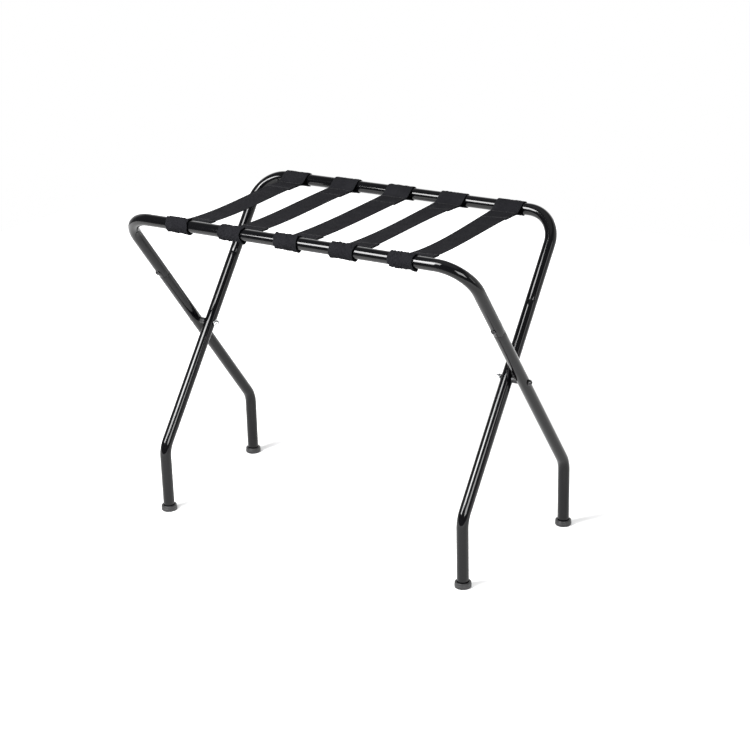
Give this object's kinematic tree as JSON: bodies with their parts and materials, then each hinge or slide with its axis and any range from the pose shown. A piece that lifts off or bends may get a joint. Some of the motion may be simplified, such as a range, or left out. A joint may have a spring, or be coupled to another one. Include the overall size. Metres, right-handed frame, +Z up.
{
  "type": "folding luggage rack",
  "caption": "Folding luggage rack: two crossed U frames of black steel tube on pivot bolts, joined by webbing straps.",
  "frame": {"origin": "on the floor, midway between the four feet of the open rack", "axes": "+X along the rails, +Y from the front rail to the rear rail, +Z up"},
  "size_m": [0.691, 0.3734, 0.5512],
  "materials": {
    "painted_tube": "gloss black paint on steel tube",
    "cap_plastic": "satin moulded black plastic",
    "webbing": "woven black webbing",
    "pivot_bolt": "black bolt",
    "nut_chrome": "bright plated",
    "black_screw": "black screw",
    "zinc_steel": "zinc plated"
  },
  "bodies": {
    "outer_frame": {"outer_top_tube": "painted_tube", "outer_strap_screws": "zinc_steel", "lower_leg_outer_left": "painted_tube", "foot_cap_outer_left": "cap_plastic", "joint_screw_outer_left": "black_screw", "joint_insert_outer_left": "zinc_steel", "lower_leg_outer_right": "painted_tube", "foot_cap_outer_right": "cap_plastic", "joint_screw_outer_right": "black_screw", "joint_insert_outer_right": "zinc_steel", "pivot_bolt_left": "pivot_bolt", "pivot_spacer_left": "cap_plastic", "pivot_dome_nut_left": "nut_chrome", "pivot_bolt_right": "pivot_bolt", "pivot_spacer_right": "cap_plastic", "pivot_dome_nut_right": "nut_chrome", "strap_1": "webbing", "strap_2": "webbing", "strap_3": "webbing", "strap_4": "webbing", "strap_5": "webbing"},
    "inner_frame": {"inner_top_tube": "painted_tube", "inner_strap_screws": "zinc_steel", "lower_leg_inner_left": "painted_tube", "foot_cap_inner_left": "cap_plastic", "joint_screw_inner_left": "black_screw", "joint_insert_inner_left": "zinc_steel", "lower_leg_inner_right": "painted_tube", "foot_cap_inner_right": "cap_plastic", "joint_screw_inner_right": "black_screw", "joint_insert_inner_right": "zinc_steel"}
  },
  "joints": [
    {"name": "fold", "type": "hinge", "parent": "outer_frame", "child": "inner_frame", "pos_m": [0, 0, 0.3079], "axis": [1, 0, 0], "range_deg": [0, 68], "deforming": ["strap_1", "strap_2", "strap_3", "strap_4", "strap_5"]}
  ]
}
